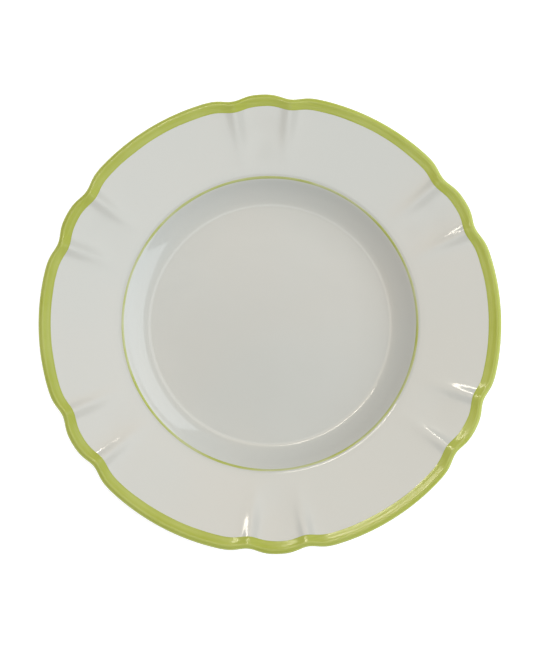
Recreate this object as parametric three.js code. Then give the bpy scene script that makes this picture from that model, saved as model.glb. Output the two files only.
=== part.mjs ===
// China dinner plate with a fluted rim: porcelain body, clear glaze, lime enamel band and line.
// Millimetres, +Z up. The origin is on the plate's axis, in the plane the foot stands on.
// +X points at the middle of a wide lobe; the first pair of flutes is centred 30 degrees from it.
import * as THREE from "three";

// Overall sizes
const RIM_RADIUS = 135; // over the enamel, at the middle of a wide lobe
const FOOT_HEIGHT = 2.6; // from the table to the underside inside the foot
const BASE_WALL = 4; // under the well floor
const GLAZE = 0.2;
const ENAMEL = 0.12;

// Profile: radii as shares of the rim's, slopes in degrees, bends in mm
const VERGE_SHARE = 0.6405; // the enamel line, on the shoulder between well and flange
const BAND_SHARE = 0.948; // the enamel band's inner edge
const FILLET_BEND = 11.5;
const FILLET_SLOPE = 28;
const CAVETTO_BEND = 34;
const CAVETTO_SLOPE = 48;
const VERGE_BEND = 6;
const LINE_SLOPE = 30; // where the enamel line starts on the shoulder
const LIP_SLOPE = 16; // where it ends
const LIP_BEND = 14; // from the line out to the flange
const FLANGE_SLOPE = 8.5;
const UPTURN_BEND = 28; // starts at the band's inner edge
const RIM_SLOPE = 16;
const RIM_WALL = 3.4;
const FLANGE_WALL = 3.9;
const CAVETTO_WALL = 4.6;
const ROLL_SHARE = 0.62; // of the rim's thickness that its upper edge rounds off

// Foot
const FOOT_LAND = 2.4; // bare flat ring that meets the table
const FOOT_CHAMFER = 0.6;
const FOOT_DRAFT = 12; // of both of its walls from upright, in degrees

// Flutes: pairs of pinched ridges that end in the notches of the rim
const PAIRS = 6;
const FLUTE_OFFSET = 7.5; // of each flute from the middle of its pair, in degrees
const NOTCH_WIDTH = 3.4; // in degrees
const NOTCH_SHARE = 0.0195; // of the radius
const SCALLOP_START = 0.74; // shares of the rim's radius
const FLUTE_START = 0.67;
const DISH_FULL = 0.82;
const DISH_END = 0.94;
const RIDGE = 0.9;
const RIDGE_WIDTH = 3.9;
const DISH = 0.4; // how far the panel between two flutes sinks

// Mesh
const PLAIN_COLUMNS = 60;
const HALF_PAIR = [0, 3.2, 5.4, 7.5, 9.6, 12, 16.5, 23]; // column angles from the middle of a pair

const rad = THREE.MathUtils.degToRad;
const bodyRim = RIM_RADIUS - GLAZE - ENAMEL;
const pairAngle = 360 / PAIRS;

// A profile point is [radius, height, direction of its outward normal in degrees from +radius].
function offset([r, z, n], distance) {
  return [r + distance * Math.cos(rad(n)), z + distance * Math.sin(rad(n)), n];
}

// Adds an arc that starts along the path's end. A positive bend is convex.
function arc(path, bend, normals) {
  const start = path.at(-1);
  const centre = offset(start, -bend);
  for (const n of normals) {
    path.push(offset([centre[0], centre[1], n], bend));
  }
}

// Adds a straight run to a radius, along the path's end.
function run(path, radius) {
  const [r, z, n] = path.at(-1);
  path.push([radius, z - (radius - r) / Math.tan(rad(n)), n]);
}

// How far an arc moves outwards between two slopes.
function reach(bend, from, to) {
  return bend * (Math.sin(rad(to)) - Math.sin(rad(from)));
}

function between(from, to, share) {
  return from + (to - from) * share;
}

// The body's face from the axis to the rim's widest ring.
function frontPath() {
  const lineSlope = between(LINE_SLOPE, LIP_SLOPE, 0.5);
  const shoulder = VERGE_SHARE * RIM_RADIUS + reach(VERGE_BEND, CAVETTO_SLOPE, lineSlope);
  const hollow = shoulder - reach(CAVETTO_BEND, FILLET_SLOPE, CAVETTO_SLOPE);
  const floor = hollow - reach(FILLET_BEND, 0, FILLET_SLOPE);
  const level = FOOT_HEIGHT + BASE_WALL;
  const path = [[0, level, 90], [floor, level, 90]];
  arc(path, -FILLET_BEND, [90 + FILLET_SLOPE / 2, 90 + FILLET_SLOPE]);
  const middle = between(FILLET_SLOPE, CAVETTO_SLOPE, 0.5);
  arc(path, -CAVETTO_BEND, [90 + middle, 90 + CAVETTO_SLOPE]);
  const line = path.length;
  arc(path, VERGE_BEND, [90 + LINE_SLOPE, 90 + lineSlope, 90 + LIP_SLOPE]);
  const lip = path.length;
  arc(path, LIP_BEND, [90 + between(LIP_SLOPE, FLANGE_SLOPE, 0.5), 90 + FLANGE_SLOPE]);
  const flange = path.length;
  const bandEdge = BAND_SHARE * RIM_RADIUS;
  run(path, between(path.at(-1)[0], bandEdge, 0.3));
  run(path, between(path.at(-1)[0], bandEdge, 0.4));
  run(path, between(path.at(-1)[0], bandEdge, 0.5));
  run(path, bandEdge);
  const band = path.length - 1;
  const roll = ROLL_SHARE * RIM_WALL;
  const crown = bodyRim - roll * (1 + Math.sin(rad(RIM_SLOPE)));
  const widest = (0.9 * (crown - bandEdge)) / reach(1, FLANGE_SLOPE, RIM_SLOPE);
  const halfway = between(FLANGE_SLOPE, RIM_SLOPE, 0.5);
  arc(path, -Math.min(UPTURN_BEND, widest), [90 + halfway, 90 + RIM_SLOPE]);
  run(path, crown);
  arc(path, roll, [90, 60, 30, 0]);
  return { path, line, lip, flange, band };
}

// The body's back from the rim's widest ring in to the bare land of the foot.
function backPath(front) {
  const path = [front.path.at(-1)];
  arc(path, (1 - ROLL_SHARE) * RIM_WALL, [-40, RIM_SLOPE - 90]);
  const under = (index, wall) => {
    const point = offset(front.path[index], -wall);
    path.push([point[0], point[1], point[2] - 180]);
  };
  under(front.band, between(FLANGE_WALL, RIM_WALL, 0.5));
  under(front.flange + 1, FLANGE_WALL);
  under(front.flange, FLANGE_WALL);
  under(front.line - 1, CAVETTO_WALL);
  under(front.line - 2, CAVETTO_WALL);
  const root = path.at(-1);
  root[2] = -35;
  const wall = footMiddle(front) + FOOT_LAND / 2 + FOOT_CHAMFER;
  const top = root[1] - (root[0] - wall) * 0.75;
  path.push([wall + top * Math.tan(rad(FOOT_DRAFT)), top, -30]);
  path.push([wall, FOOT_CHAMFER, -FOOT_DRAFT]);
  return path.slice(1);
}

function footMiddle(front) {
  return front.path[front.line - 3][0] + FOOT_LAND / 2;
}

// The underside inside the foot, from the foot's chamfer in to the axis.
function recessPath(front) {
  const wall = footMiddle(front) - FOOT_LAND / 2 - FOOT_CHAMFER;
  const slant = FOOT_HEIGHT * Math.tan(rad(FOOT_DRAFT));
  return [
    [wall, FOOT_CHAMFER, 180 + FOOT_DRAFT],
    [wall - slant, FOOT_HEIGHT - FOOT_CHAMFER, 225],
    [wall - slant - 2 * FOOT_CHAMFER, FOOT_HEIGHT, 270],
    [0, FOOT_HEIGHT, 270],
  ];
}

function ease(low, high, value) {
  const t = Math.min(1, Math.max(0, (value - low) / (high - low)));
  return t * t * (3 - 2 * t);
}

function bell(value) {
  return Math.exp(-value * value);
}

// A flute grows steadily towards the rim and eases off over the edge.
function ridge(r, flute) {
  const start = FLUTE_START * RIM_RADIUS;
  const growth = Math.max(0, (r - start) / (RIM_RADIUS - start));
  const soften = 1 - 0.4 * ease(BAND_SHARE * RIM_RADIUS, RIM_RADIUS, r);
  return RIDGE * growth * soften * bell((r * rad(flute)) / RIDGE_WIDTH);
}

function dish(r, away) {
  const share = r / RIM_RADIUS;
  const depth = ease(FLUTE_START, DISH_FULL, share) * (1 - ease(DISH_FULL, DISH_END, share));
  return DISH * depth * Math.max(0, 1 - (away / FLUTE_OFFSET) ** 2) ** 2;
}

// Moves a point of the turned plate to where scallops and flutes put it.
function shaped(r, angle, z) {
  const turn = ((angle % pairAngle) + pairAngle) % pairAngle;
  const away = Math.abs(turn - pairAngle / 2);
  const flute = away - FLUTE_OFFSET;
  const notch = bell(flute / NOTCH_WIDTH) + bell((away + FLUTE_OFFSET) / NOTCH_WIDTH);
  const fade = ease(SCALLOP_START * RIM_RADIUS, RIM_RADIUS, r);
  const radius = r * (1 - NOTCH_SHARE * fade * notch);
  const height = z + ridge(r, flute) - dish(r, away);
  return [radius * Math.cos(rad(angle)), radius * Math.sin(rad(angle)), height];
}

function plainAngles() {
  return Array.from({ length: PLAIN_COLUMNS }, (_, i) => (i * 360) / PLAIN_COLUMNS);
}

function flutedAngles() {
  const angles = [];
  for (let pair = 0; pair < PAIRS; pair += 1) {
    const middle = (pair + 0.5) * pairAngle;
    angles.push(pair * pairAngle);
    angles.push(...HALF_PAIR.slice(1).reverse().map((a) => middle - a));
    angles.push(...HALF_PAIR.map((a) => middle + a));
  }
  return angles;
}

const PLAIN = plainAngles();
const FLUTED = flutedAngles();

function ringAngles(r) {
  if (r < 1e-6) {
    return [0];
  }
  return r > FLUTE_START * RIM_RADIUS ? FLUTED : PLAIN;
}

// Triangles between two rings with their own columns, wound for a path with material on its right.
// The wider ring leads, so that a coat and the face under it get the same triangles.
function strip(index, a, b) {
  const flip = a.r < b.r || (a.r === b.r && a.z < b.z);
  const [p, q] = flip ? [b, a] : [a, b];
  const add = (u, v, w) => index.push(...(flip ? [u, w, v] : [u, v, w]));
  const at = (ring, i) => ring.first + (i % ring.angles.length);
  const [lastP, lastQ] = [p, q].map((ring) => (ring.angles.length > 1 ? ring.angles.length : 0));
  let i = 0;
  let j = 0;
  while (i < lastP || j < lastQ) {
    const pNext = i < lastP ? p.angles[i + 1] ?? 360 : Infinity;
    const qNext = j < lastQ ? q.angles[j + 1] ?? 360 : Infinity;
    if (pNext <= qNext + 1e-6) {
      add(at(p, i), at(q, j), at(p, i + 1));
      i += 1;
    } else {
      add(at(p, i), at(q, j), at(q, j + 1));
      j += 1;
    }
  }
}

// Turns a path about the axis. A closed path joins its end to its start.
function turned(path, closed) {
  const position = [];
  const index = [];
  const rings = path.map(([r, z]) => {
    const first = position.length / 3;
    const angles = ringAngles(r);
    for (const angle of angles) {
      position.push(...shaped(r, angle, z));
    }
    return { r, z, first, angles };
  });
  const count = closed ? rings.length : rings.length - 1;
  for (let k = 0; k < count; k += 1) {
    const a = rings[k];
    const b = rings[(k + 1) % rings.length];
    if (a.angles.length > 1 || b.angles.length > 1) {
      strip(index, a, b);
    }
  }
  const geometry = new THREE.BufferGeometry();
  geometry.setAttribute("position", new THREE.Float32BufferAttribute(position, 3));
  geometry.setIndex(index);
  geometry.computeVertexNormals();
  return geometry;
}

// A coat that fills the space between two offsets of a path.
function coat(path, inner, outer) {
  const outside = path.map((point) => offset(point, outer));
  const inside = path.map((point) => offset(point, inner));
  return turned([...outside, ...inside.reverse()], true);
}

function piece(name, geometry, material) {
  const mesh = new THREE.Mesh(geometry, material);
  mesh.name = name;
  return mesh;
}

function porcelain() {
  return new THREE.MeshStandardMaterial({ color: 0xe9e6dc, roughness: 0.75, metalness: 0 });
}

function clearGlaze() {
  return new THREE.MeshStandardMaterial({ color: 0xf1f0ea, roughness: 0.12, metalness: 0 });
}

function limeEnamel() {
  return new THREE.MeshStandardMaterial({ color: 0xb3ba65, roughness: 0.25, metalness: 0 });
}

const front = frontPath();
const back = backPath(front);
const recess = recessPath(front);
const land = [1, -1].map((side) => [footMiddle(front) + (side * FOOT_LAND) / 2, 0, -90]);
const band = front.path.slice(front.band);
const line = front.path.slice(front.line, front.lip);

const glaze = clearGlaze();
const enamel = limeEnamel();
const group = new THREE.Group();
group.name = "china_dinner_plate";
group.add(
  piece("porcelain_body", turned([...front.path, ...back, ...land, ...recess], false), porcelain()),
  piece("glaze_coat", coat([...front.path, ...back], 0, GLAZE), glaze),
  piece("glaze_inside_foot", coat(recess, 0, GLAZE), glaze),
  piece("enamel_rim_band", coat(band, GLAZE, GLAZE + ENAMEL), enamel),
  piece("enamel_verge_line", coat(line, GLAZE, GLAZE + ENAMEL), enamel),
);

export default group;
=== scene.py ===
import math

import bpy
from bpy.props import FloatProperty, FloatVectorProperty, PointerProperty
from mathutils import Euler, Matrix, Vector


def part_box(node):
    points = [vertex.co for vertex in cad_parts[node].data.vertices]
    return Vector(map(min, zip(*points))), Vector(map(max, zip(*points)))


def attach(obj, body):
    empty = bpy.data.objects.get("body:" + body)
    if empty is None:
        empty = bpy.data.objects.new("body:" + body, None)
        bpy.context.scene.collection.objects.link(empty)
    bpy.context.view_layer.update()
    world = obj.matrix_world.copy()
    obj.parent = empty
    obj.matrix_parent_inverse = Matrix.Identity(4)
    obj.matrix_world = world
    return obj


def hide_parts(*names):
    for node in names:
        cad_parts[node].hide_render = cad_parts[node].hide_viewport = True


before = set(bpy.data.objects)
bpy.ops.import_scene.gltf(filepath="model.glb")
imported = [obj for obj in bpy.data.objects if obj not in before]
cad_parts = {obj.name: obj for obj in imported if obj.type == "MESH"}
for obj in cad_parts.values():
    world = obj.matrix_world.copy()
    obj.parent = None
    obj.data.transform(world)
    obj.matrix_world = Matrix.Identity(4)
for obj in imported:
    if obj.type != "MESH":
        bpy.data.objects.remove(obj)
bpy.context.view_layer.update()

bl_info = {
    "name": "Fluted Dinner Plate",
    "version": (1, 0, 0),
    "blender": (4, 5, 0),
    "location": "View3D > Sidebar > Plate",
    "description": "A scalloped porcelain plate with a painted lime band and line",
    "category": "Add Mesh",
}

MM = 0.001
RIM_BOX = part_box("enamel_rim_band")
FOOT_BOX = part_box("glaze_inside_foot")

# Profile of the body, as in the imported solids: slopes in degrees, bends and walls in metres
FILLET_BEND, FILLET_SLOPE = 11.5 * MM, 28
CAVETTO_BEND, CAVETTO_SLOPE = 34 * MM, 48
VERGE_BEND, LINE_SLOPE, LIP_SLOPE = 6 * MM, 30, 16
LIP_BEND, FLANGE_SLOPE = 14 * MM, 8.5
UPTURN_BEND, RIM_SLOPE = 28 * MM, 16
RIM_WALL, FLANGE_WALL, CAVETTO_WALL = 3.4 * MM, 3.9 * MM, 4.6 * MM
ROLL_SHARE = 0.62
FOOT_LAND, FOOT_CHAMFER, FOOT_DRAFT = 2.4 * MM, 0.6 * MM, 12
FOOT_BLEND = 0.9 * MM  # softens the corner between the foot's outer wall and the back
BACK_FALL = 0.75  # how steeply the back falls in to the foot
VERGE_SHARE, BAND_SHARE = 0.6405, 0.948  # the painted line and the band's inner edge, of the rim

# Scallops and flutes, in pairs round the rim: angles in degrees
PAIRS = 6
PAIR_ANGLE = 360 / PAIRS
FLUTE_OFFSET = 7.5
NOTCH_WIDTH = 3.4
SCALLOP_START, FLUTE_START = 0.74, 0.67  # shares of the rim's radius
DISH_FULL, DISH_END = 0.82, 0.94
RIDGE_WIDTH = 3.9 * MM
PLAIN_STEPS, FLUTED_STEPS = 8, 60  # columns across the plain ends and the fluted middle of a lobe

WELD = 2e-6  # copies of a lobe this close are one
SMOOTH_ANGLE = 40  # degrees

# Brushwork: how far a border strays and what share of the stroke moves with it, how much china
# shows through, and over what share of its width the stroke thins to what share of its depth
BAND_STRAY, LINE_STRAY, STRAY_SPAN = 0.7 * MM, 0.3 * MM, 0.3
BAND_WASH, LINE_WASH = 0.06, 0.5
TAPER, THIN_EDGE = 0.12, 0.15
STREAK_ALONG, STREAK_ACROSS = 1.6, 420.0  # how closely brush marks lie, along and across

# Radii where the glaze gathers, and the part of the well that cutlery dulls
FILLET_RADIUS, SHOULDER_RADIUS = 73.5 * MM, 88.5 * MM
WORN_FULL, WORN_END = 58 * MM, 70 * MM

AIM_FORWARD = 1.36 * MM  # the camera aims this far in front of the plate's axis
FLOOR_SIZE, FLOOR_GLOW = 8, 0.45
FLOOR_TONE, FLOOR_MOTTLE = (0.9, 0.9, 0.9), (0.88, 0.885, 0.89)

# Lights: direction as azimuth and elevation in degrees, how far away, width and height, and tint
WINDOW = ((12, 23), 1.8, (3.0, 1.3), (0.88, 0.95, 1.0))
STRIP = ((112, 67), 1.7, (0.48, 0.06), (1.0, 0.92, 0.78))

# The room, as places on a sphere of radius 1 round the plate
DARK_X, DARK_Y, DARK_FULL, DARK_END = -0.02, 0.055, 0.02, 0.16  # the middle of the ceiling
CEILING_EDGE, CEILING_FULL, CEILING_LEAN = 0.925, 0.975, 0.13
DOME_LOW, SKY_LOW, SKY_HIGH = 0.3, 0.4, 0.85
WARM_LEAN, WARM_END = 0.7, 0.36
SIDE_X, SIDE_Y, SIDE_DIM, SIDE_FULL, SIDE_GAIN = -0.85, -0.5, -0.3, 0.8, 0.6
PALE, LAMPLIT, LOW_SKY = (0.94, 0.97, 0.98), (1.0, 0.86, 0.70), (0.87, 0.95, 1.02)


def between(low, high, share):
    return low + (high - low) * share


def ease(low, high, value):
    t = min(1, max(0, (value - low) / (high - low)))
    return t * t * (3 - 2 * t)


def bell(value):
    return math.exp(-value * value)


# ---------------------------------------------------------------- profile


def shifted(point, distance):
    """A profile point (radius, height, angle of its outward normal) moved along its normal."""
    r, z, n = point
    return r + distance * math.cos(math.radians(n)), z + distance * math.sin(math.radians(n)), n


def add_bend(path, bend, normal, steps):
    """Adds an arc along the path's end, up to a normal. A positive bend is convex."""
    start = path[-1]
    r, z, _ = shifted(start, -bend)
    for step in range(1, steps + 1):
        path.append(shifted((r, z, between(start[2], normal, step / steps)), bend))


def add_run(path, radius, steps=1):
    """Adds a straight run along the path's end, out to a radius."""
    r, z, n = path[-1]
    for step in range(1, steps + 1):
        travel = (radius - r) * step / steps
        path.append((r + travel, z - travel / math.tan(math.radians(n)), n))


def add_curve(path, point, steps):
    """Adds a smooth curve from the path's end to a point, keeping both normals."""
    start = path[-1]
    span = math.hypot(point[0] - start[0], point[1] - start[1])
    tangents = [
        (-math.sin(math.radians(p[2])) * span, math.cos(math.radians(p[2])) * span)
        for p in (start, point)
    ]
    if tangents[0][0] * (point[0] - start[0]) + tangents[0][1] * (point[1] - start[1]) < 0:
        tangents = [(-a, -b) for a, b in tangents]
    for step in range(1, steps + 1):
        t = step / steps
        parts = (
            2 * t**3 - 3 * t**2 + 1,
            t**3 - 2 * t**2 + t,
            3 * t**2 - 2 * t**3,
            t**3 - t**2,
        )
        r, z = (
            parts[0] * start[k] + parts[1] * tangents[0][k]
            + parts[2] * point[k] + parts[3] * tangents[1][k]
            for k in (0, 1)
        )
        path.append((r, z, between(start[2], point[2], t)))


def reach(bend, start, end):
    """How far an arc moves outwards between two slopes."""
    return bend * (math.sin(math.radians(end)) - math.sin(math.radians(start)))


class Profile:
    """The plate's section, as paths of points: front, line, band, back, land and recess."""

    def __init__(self, sizes):
        self.sizes = sizes
        self.make_front()
        self.make_back()
        self.make_foot()

    def make_front(self):
        sizes = self.sizes
        middle = between(LINE_SLOPE, LIP_SLOPE, 0.5)
        shoulder = sizes.verge_radius + reach(VERGE_BEND, CAVETTO_SLOPE, middle)
        hollow = shoulder - reach(CAVETTO_BEND, FILLET_SLOPE, CAVETTO_SLOPE)
        floor = hollow - reach(FILLET_BEND, 0, FILLET_SLOPE)
        level = sizes.foot_height + sizes.base_wall
        path = [(0, level, 90)]
        add_run(path, floor, 4)
        add_bend(path, -FILLET_BEND, 90 + FILLET_SLOPE, 6)
        self.root = path[-1]
        add_bend(path, -CAVETTO_BEND, 90 + between(FILLET_SLOPE, CAVETTO_SLOPE, 0.5), 3)
        self.cavetto = path[-1]
        add_bend(path, -CAVETTO_BEND, 90 + CAVETTO_SLOPE, 3)
        self.shoulder = path[-1]
        add_bend(path, VERGE_BEND, 90 + LINE_SLOPE, 3)
        start = len(path) - 1
        add_bend(path, VERGE_BEND, 90 + LIP_SLOPE, 4)
        self.line = path[start:]
        add_bend(path, LIP_BEND, 90 + FLANGE_SLOPE, 4)
        edge = sizes.band_radius
        add_run(path, between(path[-1][0], edge, 0.3), 4)
        self.flange = path[-1]
        add_run(path, between(path[-1][0], edge, 0.4), 4)
        self.middle = path[-1]
        add_run(path, edge, 8)
        start = len(path) - 1
        self.turned = path[-1]
        add_bend(path, -UPTURN_BEND, 90 + RIM_SLOPE, 5)
        roll = ROLL_SHARE * RIM_WALL
        rim = sizes.rim_radius - sizes.glaze_depth - sizes.enamel_depth
        add_run(path, rim - roll * (1 + math.sin(math.radians(RIM_SLOPE))))
        add_bend(path, roll, 90, 2)
        add_bend(path, roll, 0, 8)
        self.band = path[start:]
        self.front = path

    def make_back(self):
        """The back follows the front at the wall's thickness."""
        path = [self.front[-1]]
        add_bend(path, (1 - ROLL_SHARE) * RIM_WALL, RIM_SLOPE - 90, 6)
        under = [
            (self.turned, between(FLANGE_WALL, RIM_WALL, 0.5), 3),
            (self.middle, FLANGE_WALL, 5),
            (self.flange, FLANGE_WALL, 3),
            (self.shoulder, CAVETTO_WALL, 5),
            (self.cavetto, CAVETTO_WALL, 3),
        ]
        for point, wall, steps in under:
            r, z, n = shifted(point, -wall)
            add_curve(path, (r, z, n - 180), steps)
        self.back = path[1:]

    def make_foot(self):
        middle = self.root[0] + FOOT_LAND / 2
        wall = middle + FOOT_LAND / 2 + FOOT_CHAMFER
        root = self.back[-1]
        top = root[1] - (root[0] - wall) * BACK_FALL
        slant = math.tan(math.radians(FOOT_DRAFT))
        path = [root]
        add_curve(path, (wall + top * slant + FOOT_BLEND, top + 0.7 * FOOT_BLEND, -40), 2)
        low = top - FOOT_BLEND
        add_curve(path, (wall + low * slant, low, -FOOT_DRAFT), 4)
        path.append((wall, FOOT_CHAMFER, -FOOT_DRAFT))
        self.back += path[1:]
        self.land = [
            (middle + FOOT_LAND / 2, 0, -90),
            (middle - FOOT_LAND / 2, 0, -90),
        ]
        height = self.sizes.foot_height
        wall = middle - FOOT_LAND / 2 - FOOT_CHAMFER
        slant *= height
        path = [(wall, FOOT_CHAMFER, 180 + FOOT_DRAFT)]
        path.append((wall - slant * 0.6, height - 2 * FOOT_CHAMFER, 180 + FOOT_DRAFT))
        add_curve(path, (wall - slant - 2 * FOOT_CHAMFER, height, 270), 6)
        add_run(path, 0, 4)
        self.recess = path

    def outline(self):
        """The whole body, once round its section."""
        return self.front + self.back + self.land + self.recess


# ---------------------------------------------------------------- modelling


def edit(piece, mode="SELECT"):
    """Opens a piece for editing with all of it selected, or none."""
    if bpy.context.mode != "OBJECT":
        bpy.ops.object.mode_set(mode="OBJECT")
    bpy.ops.object.select_all(action="DESELECT")
    bpy.context.view_layer.objects.active = piece
    piece.select_set(True)
    bpy.ops.object.mode_set(mode="EDIT")
    bpy.ops.mesh.select_all(action=mode)


def close_edit():
    bpy.ops.object.mode_set(mode="OBJECT")


def apply_modifier(piece, kind, **settings):
    modifier = piece.modifiers.new(kind.title(), kind)
    for name, value in settings.items():
        setattr(modifier, name, value)
    bpy.ops.object.select_all(action="DESELECT")
    bpy.context.view_layer.objects.active = piece
    piece.select_set(True)
    bpy.ops.object.modifier_apply(modifier=modifier.name)


def draw_section(name, path):
    """A plane is merged to one vertex, which is extruded from point to point of the path."""
    bpy.ops.object.select_all(action="DESELECT")
    bpy.ops.mesh.primitive_plane_add(size=MM, location=(path[0][0], 0, path[0][1]))
    piece = bpy.context.object
    piece.name = name
    piece.data.name = name
    bpy.ops.object.transform_apply(location=True, rotation=True, scale=True)
    edit(piece)
    bpy.ops.mesh.merge(type="CENTER")
    for start, end in zip(path, path[1:]):
        step = (end[0] - start[0], 0, end[1] - start[1])
        bpy.ops.mesh.extrude_region_move(TRANSFORM_OT_translate={"value": step})
    close_edit()
    return piece


def spin_lobe(piece):
    """Spins the section through one sixth of a turn, with finer steps across the flutes."""
    edit(piece)
    plain, fluted = PAIR_ANGLE / 4, PAIR_ANGLE / 2
    for angle, steps in ((plain, PLAIN_STEPS), (fluted, FLUTED_STEPS), (plain, PLAIN_STEPS)):
        bpy.ops.mesh.spin(
            steps=steps, angle=math.radians(angle), center=(0, 0, 0), axis=(0, 0, 1)
        )
    close_edit()


def polar(point):
    return math.hypot(point[0], point[1]), math.degrees(math.atan2(point[1], point[0]))


def from_pair(angle):
    """How far an angle is from the middle of its pair of flutes, in degrees."""
    return abs(angle % PAIR_ANGLE - PAIR_ANGLE / 2)


def weigh(piece, name, weight):
    """A vertex group that holds every vertex, weighed by its radius and angle."""
    group = piece.vertex_groups.new(name=name)
    for vertex in piece.data.vertices:
        group.add([vertex.index], weight(*polar(vertex.co)), "REPLACE")
    return name


def notch_weight(sizes):
    def weight(r, angle):
        away = from_pair(angle)
        near = bell((away - FLUTE_OFFSET) / NOTCH_WIDTH)
        far = bell((away + FLUTE_OFFSET) / NOTCH_WIDTH)
        growth = ease(SCALLOP_START * sizes.rim_radius, sizes.rim_radius, r)
        return (near + far) / 2 * growth

    return weight


def ridge_weight(sizes):
    """A flute grows steadily towards the rim and eases off over the edge."""
    def weight(r, angle):
        start = FLUTE_START * sizes.rim_radius
        growth = max(0, (r - start) / (sizes.rim_radius - start))
        soften = 1 - 0.4 * ease(sizes.band_radius, sizes.rim_radius, r)
        away = math.radians(from_pair(angle) - FLUTE_OFFSET)
        return min(1, growth * soften) * bell(r * away / RIDGE_WIDTH)

    return weight


def dish_weight(sizes):
    def weight(r, angle):
        share = r / sizes.rim_radius
        depth = ease(FLUTE_START, DISH_FULL, share) * (1 - ease(DISH_FULL, DISH_END, share))
        return depth * max(0, 1 - (from_pair(angle) / FLUTE_OFFSET) ** 2) ** 2

    return weight


def draw_in(piece, share, group):
    """Draws vertices in towards the axis by a share of their radius."""
    apply_modifier(
        piece, "CAST", cast_type="CYLINDER", use_x=True, use_y=True, use_z=False,
        factor=share, size=1e-6, radius=0, use_radius_as_size=False, vertex_group=group,
    )


def flute(piece, sizes):
    """Draws the rim in at each notch, raises the flutes and sinks the panel between them."""
    groups = [
        weigh(piece, "notch", notch_weight(sizes)),
        weigh(piece, "ridge", ridge_weight(sizes)),
        weigh(piece, "dish", dish_weight(sizes)),
    ]
    draw_in(piece, 2 * sizes.notch_share, groups[0])
    lifts = ((groups[1], sizes.ridge_height), (groups[2], -sizes.dish_depth))
    for group, strength in lifts:
        apply_modifier(
            piece, "DISPLACE", direction="Z", mid_level=0, strength=strength, vertex_group=group
        )
    piece.vertex_groups.clear()


def copy_round(piece):
    """Copies the finished lobe round the plate and welds the copies."""
    edit(piece)
    for _ in range(PAIRS - 1):
        bpy.ops.mesh.duplicate()
        bpy.ops.transform.rotate(
            value=math.radians(PAIR_ANGLE), orient_axis="Z", center_override=(0, 0, 0)
        )
    bpy.ops.mesh.select_all(action="SELECT")
    bpy.ops.mesh.remove_doubles(threshold=WELD)
    bpy.ops.mesh.normals_make_consistent(inside=False)
    close_edit()


def face_out(piece, path):
    """Flips the faces if those at the path's first stretch point against its normals."""
    r, z, n = (between(a, b, 0.5) for a, b in zip(path[0], path[1]))

    def distance(face):
        return math.hypot(math.hypot(face.center.x, face.center.y) - r, face.center.z - z)

    face = min(piece.data.polygons, key=distance)
    out = face.center.xy.normalized() * math.cos(math.radians(n))
    if face.normal.dot(Vector((out.x, out.y, math.sin(math.radians(n))))) < 0:
        edit(piece)
        bpy.ops.mesh.flip_normals()
        close_edit()


def turn_piece(name, path, sizes, mark=None):
    """A surface of the plate, turned from its section, fluted and copied round."""
    piece = draw_section(name, path)
    spin_lobe(piece)
    if mark:
        mark(piece, path)
    flute(piece, sizes)
    copy_round(piece)
    face_out(piece, path)
    return piece


def thicken(piece, depth, **settings):
    apply_modifier(
        piece, "SOLIDIFY", thickness=depth, offset=1, use_even_offset=True, use_rim=True, **settings
    )


def smooth(piece):
    bpy.ops.object.select_all(action="DESELECT")
    bpy.context.view_layer.objects.active = piece
    piece.select_set(True)
    bpy.ops.object.shade_smooth_by_angle(angle=math.radians(SMOOTH_ANGLE))


def finish_piece(piece, material, node):
    piece.data.materials.clear()
    piece.data.materials.append(material)
    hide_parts(node)
    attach(piece, "root")


# ---------------------------------------------------------------- hand painting


def mark_across(piece, path):
    """Stores how far across the stroke each vertex lies, from 0 inside to 1 outside."""
    lengths = [0]
    for a, b in zip(path, path[1:]):
        lengths.append(lengths[-1] + math.hypot(b[0] - a[0], b[1] - a[1]))
    across = piece.data.attributes.new("across", "FLOAT", "POINT")
    for vertex in piece.data.vertices:
        r, z = math.hypot(vertex.co.x, vertex.co.y), vertex.co.z
        nearest = min(range(len(path)), key=lambda i: abs(path[i][0] - r) + abs(path[i][1] - z))
        across.data[vertex.index].value = lengths[nearest] / lengths[-1]


def read_across(piece):
    return [item.value for item in piece.data.attributes["across"].data]


def hand(angle, shift):
    """A slow unsteady wander round the plate, between 0 and 1."""
    turn = math.radians(angle)
    waves = ((3, 0.9, 0.30), (7, 2.1, 0.26), (13, 4.0, 0.22), (23, 1.3, 0.13), (41, 5.2, 0.09))
    total = sum(size * math.sin(count * turn + phase + shift) for count, phase, size in waves)
    return 0.5 + 0.5 * total


def wander(piece, border, amount, shift, group):
    """Moves one border of a stroke in and out, as a hand-held brush leaves it."""
    across = read_across(piece)
    chosen = piece.vertex_groups.new(name=group)
    radii = []
    for vertex in piece.data.vertices:
        near = 1 - abs(across[vertex.index] - border) / STRAY_SPAN
        if near > 0:
            r, angle = polar(vertex.co)
            radii.append(r)
            chosen.add([vertex.index], near * hand(angle, shift), "REPLACE")
    draw_in(piece, amount / max(radii), group)


def lay_on(piece, glaze):
    """Presses a stroke onto the glaze."""
    apply_modifier(
        piece, "SHRINKWRAP", target=glaze, wrap_method="NEAREST_SURFACEPOINT",
        wrap_mode="ABOVE_SURFACE", offset=0,
    )


def taper(piece, both):
    """A group that is full in the middle of a stroke and falls away at one border or both."""
    across = read_across(piece)
    group = piece.vertex_groups.new(name="taper")
    for vertex in piece.data.vertices:
        value = across[vertex.index]
        inside, outside = ease(0, TAPER, value), ease(0, TAPER, 1 - value)
        weight = min(inside, outside) if both else inside
        group.add([vertex.index], max(0.01, weight), "REPLACE")
    return group.name


# ---------------------------------------------------------------- materials


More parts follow.
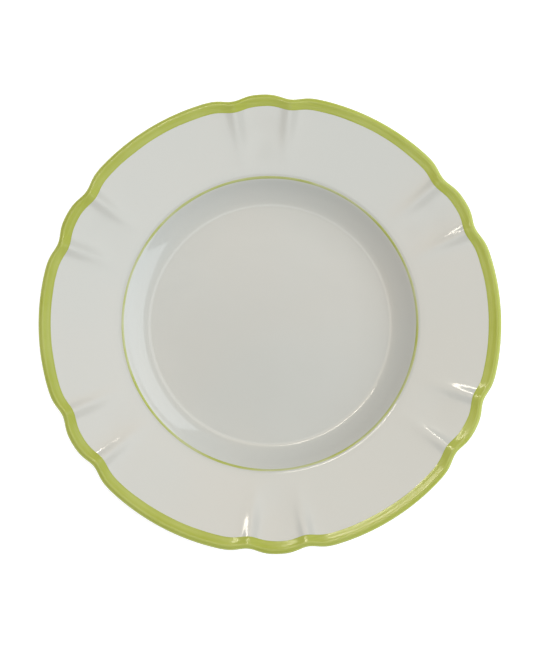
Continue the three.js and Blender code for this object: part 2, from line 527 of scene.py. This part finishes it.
class Value:
    """A node socket whose arithmetic adds Math nodes."""

    def __init__(self, paint, socket):
        self.paint = paint
        self.socket = socket

    def math(self, operation, *others):
        inputs = dict(enumerate((self, *others)))
        return self.paint.node("ShaderNodeMath", {"operation": operation}, inputs)

    def reflect(self, operation, other):
        """The same arithmetic with this value on the right."""
        return self.paint.node("ShaderNodeMath", {"operation": operation}, {0: other, 1: self})

    def __add__(self, other):
        return self.math("ADD", other)

    def __radd__(self, other):
        return self.math("ADD", other)

    def __sub__(self, other):
        return self.math("SUBTRACT", other)

    def __rsub__(self, other):
        return self.reflect("SUBTRACT", other)

    def __mul__(self, other):
        return self.math("MULTIPLY", other)

    def __rmul__(self, other):
        return self.math("MULTIPLY", other)

    def __truediv__(self, other):
        return self.math("DIVIDE", other)

    def __rtruediv__(self, other):
        return self.reflect("DIVIDE", other)

    def between(self, low, high):
        """0 below low, 1 above high, and a smooth step in between."""
        settings = {"interpolation_type": "SMOOTHSTEP", "clamp": True}
        inputs = {"Value": self, "From Min": low, "From Max": high}
        return self.paint.node("ShaderNodeMapRange", settings, inputs)

    def peak(self, centre, width):
        """1 at centre, falling smoothly to 0 a width away."""
        return 1 - (self - centre).math("ABSOLUTE").between(0, width)


class Board:
    """The nodes of a material or of the room, with one shader whose sockets are set by name."""

    def __init__(self, owner, shader):
        owner.use_nodes = True
        self.nodes = owner.node_tree.nodes
        self.links = owner.node_tree.links
        self.shader = self.nodes[shader]

    def set(self, name, value):
        self.plug(self.shader.inputs[name], value)

    def plug(self, socket, value):
        if isinstance(value, Value):
            self.links.new(value.socket, socket)
        else:
            socket.default_value = value

    def node(self, kind, settings=None, inputs=None, output=0):
        """Adds a node: its settings first, then the values or links of its sockets."""
        node = self.nodes.new(kind)
        for name, value in (settings or {}).items():
            setattr(node, name, value)
        for key, value in (inputs or {}).items():
            self.plug(node.inputs[key], value)
        return Value(self, node.outputs[output])

    def place(self):
        return self.node("ShaderNodeTexCoord", output="Object")

    def split(self, vector):
        return [self.node("ShaderNodeSeparateXYZ", None, {0: vector}, k) for k in range(3)]

    def join(self, x, y, z):
        return self.node("ShaderNodeCombineXYZ", None, {0: x, 1: y, 2: z})

    def noise(self, vector, scale, detail=2.0, roughness=0.5):
        inputs = {"Vector": vector, "Scale": scale, "Detail": detail, "Roughness": roughness}
        return self.node("ShaderNodeTexNoise", {"noise_dimensions": "3D"}, inputs)

    def mix(self, factor, first, second):
        """Mixes two colours."""
        colours = [c if isinstance(c, Value) else (*c, 1) for c in (first, second)]
        inputs = {0: factor, 6: colours[0], 7: colours[1]}
        return self.node("ShaderNodeMix", {"data_type": "RGBA"}, inputs, 2)

    def bump(self, height, distance, strength=1.0):
        inputs = {"Height": height, "Distance": distance, "Strength": strength}
        return self.node("ShaderNodeBump", None, inputs)


class Paint(Board):
    """A material on a Principled shader."""

    def __init__(self, name, colour, roughness, ior=1.5):
        self.material = bpy.data.materials.new(name)
        self.material.diffuse_color = (*colour, 1)
        super().__init__(self.material, "Principled BSDF")
        self.set("Base Color", (*colour, 1))
        self.set("Roughness", roughness)
        self.set("IOR", ior)


def glaze_paint(colours):
    """Clear glaze over warm white china: faint tone drift, a few specks and fine waves.

    It gathers in the well's fillet and at the shoulder, and cutlery has dulled the well.
    """
    paint = Paint("porcelain_glaze", colours.china, roughness=0.09, ior=1.55)
    place = paint.place()
    x, y, z = paint.split(place)
    radius = (x * x + y * y).math("SQRT")
    drift = paint.noise(place, scale=9.0, detail=3.0)
    colour = paint.mix(drift.between(0.35, 0.65), colours.china, colours.china_cool)
    pool = radius.peak(FILLET_RADIUS, 6 * MM) * 0.1 + radius.peak(SHOULDER_RADIUS, 4 * MM) * 0.1
    colour = paint.mix(pool * z.between(5 * MM, 6.6 * MM), colour, colours.pooled)
    cells = {"feature": "F1", "voronoi_dimensions": "3D"}
    speck_place = {"Vector": place, "Scale": 85.0}
    near = paint.node("ShaderNodeTexVoronoi", cells, speck_place, "Distance")
    tint = paint.node("ShaderNodeTexVoronoi", cells, speck_place, "Color")
    chance = paint.split(tint)[0]
    speck = (1 - near.between(0.018, 0.034)) * chance.between(0.965, 0.975)
    colour = paint.mix(speck * 0.55, colour, colours.speck)
    paint.set("Base Color", colour)
    worn = paint.noise(place, scale=34.0, detail=4.0, roughness=0.6)
    well = 1 - radius.between(WORN_FULL, WORN_END)
    paint.set("Roughness", 0.075 + worn.between(0.4, 0.8) * (0.03 + well * 0.03))
    swell = paint.noise(place, scale=26.0) * 0.8
    waves = swell + paint.noise(place, scale=140.0) * 0.10
    paint.set("Normal", paint.bump(waves, distance=0.35 * MM, strength=0.6))
    return paint.material


def enamel_paint(name, colours, wash):
    """Lime enamel laid with a brush: streaks along the stroke, pooled edges and thin places.

    A fuller wash lets more of the china show through.
    """
    paint = Paint(name, colours.lime, roughness=0.2)
    place = paint.place()
    x, y, z = paint.split(place)
    radius = (x * x + y * y).math("SQRT")
    across = paint.node("ShaderNodeAttribute", {"attribute_name": "across"}, None, "Fac")
    turn_x, turn_y = x / radius * STREAK_ALONG, y / radius * STREAK_ALONG
    along = paint.join(turn_x, turn_y, radius * STREAK_ACROSS)
    streaks = paint.noise(along, scale=3.0, detail=4.0, roughness=0.6)
    cloud = paint.noise(place, scale=42.0, detail=3.0)
    depth = streaks * 0.55 + cloud * 0.45
    pooled = (1 - across.between(0.0, 0.10)) * 0.2 + across.between(0.80, 1.0) * 0.3
    thin = paint.mix(depth.between(0.30, 0.72), colours.lime, colours.lime_light)
    colour = paint.mix(pooled, thin, colours.lime_deep)
    sheer = cloud.between(0.2, 0.8) * wash
    paint.set("Base Color", paint.mix(sheer, colour, colours.china))
    paint.set("Roughness", 0.07 + streaks.between(0.35, 0.7) * 0.08)
    paint.set("Normal", paint.bump(streaks * 0.6 + cloud * 0.4, distance=0.07 * MM, strength=0.7))
    return paint.material


def bisque_paint(colours):
    """Bare fired porcelain: matt, gritty and greyed where it has rubbed on shelves."""
    paint = Paint("bare_porcelain", colours.bisque, roughness=0.8)
    place = paint.place()
    z = paint.split(place)[2]
    grit = paint.noise(place, scale=900.0, detail=3.0, roughness=0.6)
    stain = paint.noise(place, scale=60.0, detail=4.0, roughness=0.65)
    rubbed = (1 - z.between(0.1 * MM, 0.5 * MM)) * stain.between(0.45, 0.75)
    colour = paint.mix(grit.between(0.3, 0.7) * 0.4, colours.bisque, colours.grit)
    paint.set("Base Color", paint.mix(rubbed * 0.6, colour, colours.rubbed))
    paint.set("Roughness", 0.7 + grit * 0.25)
    paint.set("Normal", paint.bump(grit, distance=0.1 * MM, strength=0.8))
    return paint.material


# ---------------------------------------------------------------- settings


def length_setting(name, description, default):
    return FloatProperty(
        name=name, description=description, default=default, min=0, precision=5,
        subtype="DISTANCE", unit="LENGTH",
    )


def share_setting(name, description, default):
    return FloatProperty(
        name=name, description=description, default=default, min=0, max=1, subtype="FACTOR"
    )


def colour_setting(name, description, default):
    return FloatVectorProperty(
        name=name, description=description, default=default, size=3, min=0, max=1, subtype="COLOR"
    )


class PlateSizes(bpy.types.PropertyGroup):
    rim_radius: length_setting("Rim radius", "Widest radius, over the enamel", RIM_BOX[1].x)
    verge_radius: length_setting(
        "Line radius", "Radius of the painted line round the well", VERGE_SHARE * RIM_BOX[1].x
    )
    band_radius: length_setting(
        "Band radius", "Inner radius of the painted band", BAND_SHARE * RIM_BOX[1].x
    )
    foot_height: length_setting("Foot height", "Depth of the hollow inside the foot", FOOT_BOX[1].z)
    base_wall: length_setting("Base wall", "Thickness of the body under the well", 4 * MM)
    glaze_depth: length_setting("Glaze depth", "Thickness of the clear glaze", 0.2 * MM)
    enamel_depth: length_setting("Enamel depth", "Thickness of the painted enamel", 0.12 * MM)
    ridge_height: length_setting("Flute height", "How high each flute is pinched up", 0.9 * MM)
    dish_depth: length_setting(
        "Panel depth", "How far the panel between two flutes sinks", 0.4 * MM
    )
    notch_share: share_setting("Notch depth", "Depth of a notch as a share of the radius", 0.0195)


class PlateColours(bpy.types.PropertyGroup):
    china: colour_setting("China", "Glazed porcelain", (0.70, 0.69, 0.645))
    china_cool: colour_setting("China, cooler", "Where the tone drifts", (0.685, 0.688, 0.65))
    pooled: colour_setting("Pooled glaze", "Where the glaze runs thick", (0.58, 0.60, 0.56))
    speck: colour_setting("Speck", "Iron specks in the glaze", (0.12, 0.10, 0.08))
    lime: colour_setting("Lime", "Painted enamel", (0.45, 0.50, 0.067))
    lime_light: colour_setting(
        "Lime, thin", "Where the enamel is brushed thin", (0.515, 0.57, 0.09)
    )
    lime_deep: colour_setting("Lime, thick", "Where the enamel pools", (0.36, 0.42, 0.045))
    bisque: colour_setting("Bare porcelain", "Unglazed foot", (0.72, 0.68, 0.60))
    grit: colour_setting("Grit", "Grain of the bare porcelain", (0.60, 0.56, 0.49))
    rubbed: colour_setting("Rubbed foot", "Grey marks from shelves", (0.36, 0.34, 0.31))


class PlateStage(bpy.types.PropertyGroup):
    elevation: FloatProperty(
        name="Elevation", description="Camera's angle above the table",
        default=math.radians(83.7), subtype="ANGLE", unit="ROTATION",
    )
    azimuth: FloatProperty(
        name="Azimuth", description="Camera's turn about the plate",
        default=math.radians(-2.1), subtype="ANGLE", unit="ROTATION",
    )
    distance: length_setting("Distance", "From the camera to the rim", 1.29)
    lens: FloatProperty(name="Lens", description="Focal length in mm", default=122.9)
    window: FloatProperty(
        name="Window", description="Brightness of the large soft light", default=1.8
    )
    strip: FloatProperty(
        name="Strip", description="Brightness of the narrow warm light", default=18.0
    )
    room: FloatProperty(
        name="Room", description="Brightness of the light from all round", default=0.262
    )
    dome: FloatProperty(
        name="Dome", description="Added brightness of everything high up", default=0.265
    )
    ceiling: FloatProperty(
        name="Ceiling", description="Added brightness of the ring overhead", default=1.65
    )


# ---------------------------------------------------------------- operators


class PLATE_OT_body(bpy.types.Operator):
    """Turn the porcelain body, whose foot stays bare"""

    bl_idname = "plate.body"
    bl_label = "Porcelain body"

    def execute(self, context):
        scene = context.scene
        piece = turn_piece("porcelain", Profile(scene.plate_sizes).outline(), scene.plate_sizes)
        smooth(piece)
        finish_piece(piece, bisque_paint(scene.plate_colours), "porcelain_body")
        return {"FINISHED"}


class PLATE_OT_glaze(bpy.types.Operator):
    """Coat the body with glaze outside the foot and inside it"""

    bl_idname = "plate.glaze"
    bl_label = "Glaze"

    def execute(self, context):
        scene = context.scene
        sizes = scene.plate_sizes
        profile = Profile(sizes)
        material = glaze_paint(scene.plate_colours)
        coats = (
            ("glaze", profile.front + profile.back, "glaze_coat"),
            ("glaze_under", profile.recess, "glaze_inside_foot"),
        )
        for name, path, node in coats:
            piece = turn_piece(name, path, sizes)
            thicken(piece, sizes.glaze_depth)
            smooth(piece)
            finish_piece(piece, material, node)
        return {"FINISHED"}


class PLATE_OT_enamel(bpy.types.Operator):
    """Paint the lime band on the rim and the line round the well"""

    bl_idname = "plate.enamel"
    bl_label = "Enamel"

    def execute(self, context):
        scene = context.scene
        sizes = scene.plate_sizes
        profile = Profile(sizes)
        glaze = bpy.data.objects["glaze"]
        strokes = (
            ("rim_band", profile.band, "enamel_rim_band", ((0, BAND_STRAY, 0.0),), BAND_WASH),
            (
                "verge_line", profile.line, "enamel_verge_line",
                ((0, LINE_STRAY, 1.7), (1, LINE_STRAY, 4.4)), LINE_WASH,
            ),
        )
        for name, path, node, borders, wash in strokes:
            raised = [shifted(point, sizes.glaze_depth) for point in path]
            piece = turn_piece(name, raised, sizes, mark_across)
            for border, amount, shift in borders:
                wander(piece, border, amount, shift, f"border_{border}")
            lay_on(piece, glaze)
            group = taper(piece, len(borders) > 1)
            thicken(
                piece, sizes.enamel_depth, vertex_group=group, thickness_vertex_group=THIN_EDGE
            )
            piece.vertex_groups.clear()
            smooth(piece)
            material = enamel_paint(f"{name}_enamel", scene.plate_colours, wash)
            finish_piece(piece, material, node)
        return {"FINISHED"}


class PLATE_OT_stage(bpy.types.Operator):
    """Lay the floor and set the lights and the camera"""

    bl_idname = "plate.stage"
    bl_label = "Stage"

    def execute(self, context):
        stage = context.scene.plate_stage
        lay_floor()
        light_room(context.scene, stage)
        aim_camera(context.scene, stage)
        return {"FINISHED"}


def lay_floor():
    bpy.ops.object.select_all(action="DESELECT")
    bpy.ops.mesh.primitive_plane_add(size=FLOOR_SIZE, location=(0, 0, 0))
    floor = bpy.context.object
    floor.name = "floor"
    paint = Paint("pale_floor", FLOOR_TONE, roughness=0.9)
    mottle = paint.noise(paint.place(), scale=3.0, detail=3.0)
    paint.set("Base Color", paint.mix(mottle, FLOOR_TONE, FLOOR_MOTTLE))
    paint.set("Emission Color", (1, 1, 1, 1))
    paint.set("Emission Strength", FLOOR_GLOW)
    floor.data.materials.append(paint.material)


def add_light(name, brightness, direction, distance, size, tint):
    """An area light that faces the plate. Direction is its azimuth from +X and its elevation."""
    azimuth, elevation = (math.radians(angle) for angle in direction)
    light = bpy.data.lights.new(name, "AREA")
    light.shape = "RECTANGLE"
    light.size, light.size_y = size
    light.energy = brightness * math.pi * size[0] * size[1]
    light.color = tint
    lamp = bpy.data.objects.new(name, light)
    bpy.context.scene.collection.objects.link(lamp)
    away = Vector((
        math.cos(azimuth) * math.cos(elevation),
        math.sin(azimuth) * math.cos(elevation),
        math.sin(elevation),
    ))
    lamp.location = away * distance
    lamp.rotation_euler = away.to_track_quat("Z", "Y").to_euler()


def light_room(scene, stage):
    """A room that brightens upwards and to one side, with a window and a lamp.

    Its ceiling glows round a darker middle and is warmer at the back left.
    """
    scene.world = bpy.data.worlds.new("room")
    room = Board(scene.world, "Background")
    x, y, z = room.split(room.place())
    off = ((x - DARK_X) * (x - DARK_X) + (y - DARK_Y) * (y - DARK_Y)).math("SQRT")
    height = z + y * CEILING_LEAN
    glow = off.between(DARK_FULL, DARK_END) * height.between(CEILING_EDGE, CEILING_FULL)
    ceiling = room.mix((y - x * WARM_LEAN).between(0.0, WARM_END), PALE, LAMPLIT)
    room.set("Color", room.mix(z.between(SKY_LOW, SKY_HIGH), LOW_SKY, ceiling))
    side = (x * SIDE_X + y * SIDE_Y).between(SIDE_DIM, SIDE_FULL)
    dome = z.between(DOME_LOW, SKY_HIGH) * stage.dome
    room.set("Strength", glow * stage.ceiling + dome + (1 + side * SIDE_GAIN) * stage.room)
    add_light("window", stage.window, *WINDOW)
    add_light("strip", stage.strip, *STRIP)


def aim_camera(scene, stage):
    camera = bpy.data.objects.new("camera", bpy.data.cameras.new("camera"))
    scene.collection.objects.link(camera)
    camera.data.lens = stage.lens
    turn = Euler((math.pi / 2 - stage.elevation, 0, stage.azimuth))
    target = Vector((0, -AIM_FORWARD, RIM_BOX[0].z))
    camera.rotation_euler = turn
    camera.location = target + turn.to_matrix() @ Vector((0, 0, stage.distance))
    scene.camera = camera
    scene.view_settings.view_transform = "Standard"
    scene.view_settings.look = "None"


class PLATE_PT_panel(bpy.types.Panel):
    bl_label = "Fluted Dinner Plate"
    bl_idname = "PLATE_PT_panel"
    bl_space_type = "VIEW_3D"
    bl_region_type = "UI"
    bl_category = "Plate"

    def draw(self, context):
        layout = self.layout
        for group in (context.scene.plate_sizes, context.scene.plate_colours,
                      context.scene.plate_stage):
            box = layout.box()
            for name in group.__annotations__:
                box.prop(group, name)
        for step in STEPS:
            layout.operator(step.bl_idname)


STEPS = (PLATE_OT_body, PLATE_OT_glaze, PLATE_OT_enamel, PLATE_OT_stage)
CLASSES = (PlateSizes, PlateColours, PlateStage, *STEPS, PLATE_PT_panel)


def register():
    for cls in CLASSES:
        bpy.utils.register_class(cls)
    bpy.types.Scene.plate_sizes = PointerProperty(type=PlateSizes)
    bpy.types.Scene.plate_colours = PointerProperty(type=PlateColours)
    bpy.types.Scene.plate_stage = PointerProperty(type=PlateStage)


def unregister():
    del bpy.types.Scene.plate_stage
    del bpy.types.Scene.plate_colours
    del bpy.types.Scene.plate_sizes
    for cls in reversed(CLASSES):
        bpy.utils.unregister_class(cls)


def main():
    register()
    bpy.ops.plate.body()
    bpy.ops.plate.glaze()
    bpy.ops.plate.enamel()
    bpy.ops.plate.stage()


if __name__ == "__main__":
    main()
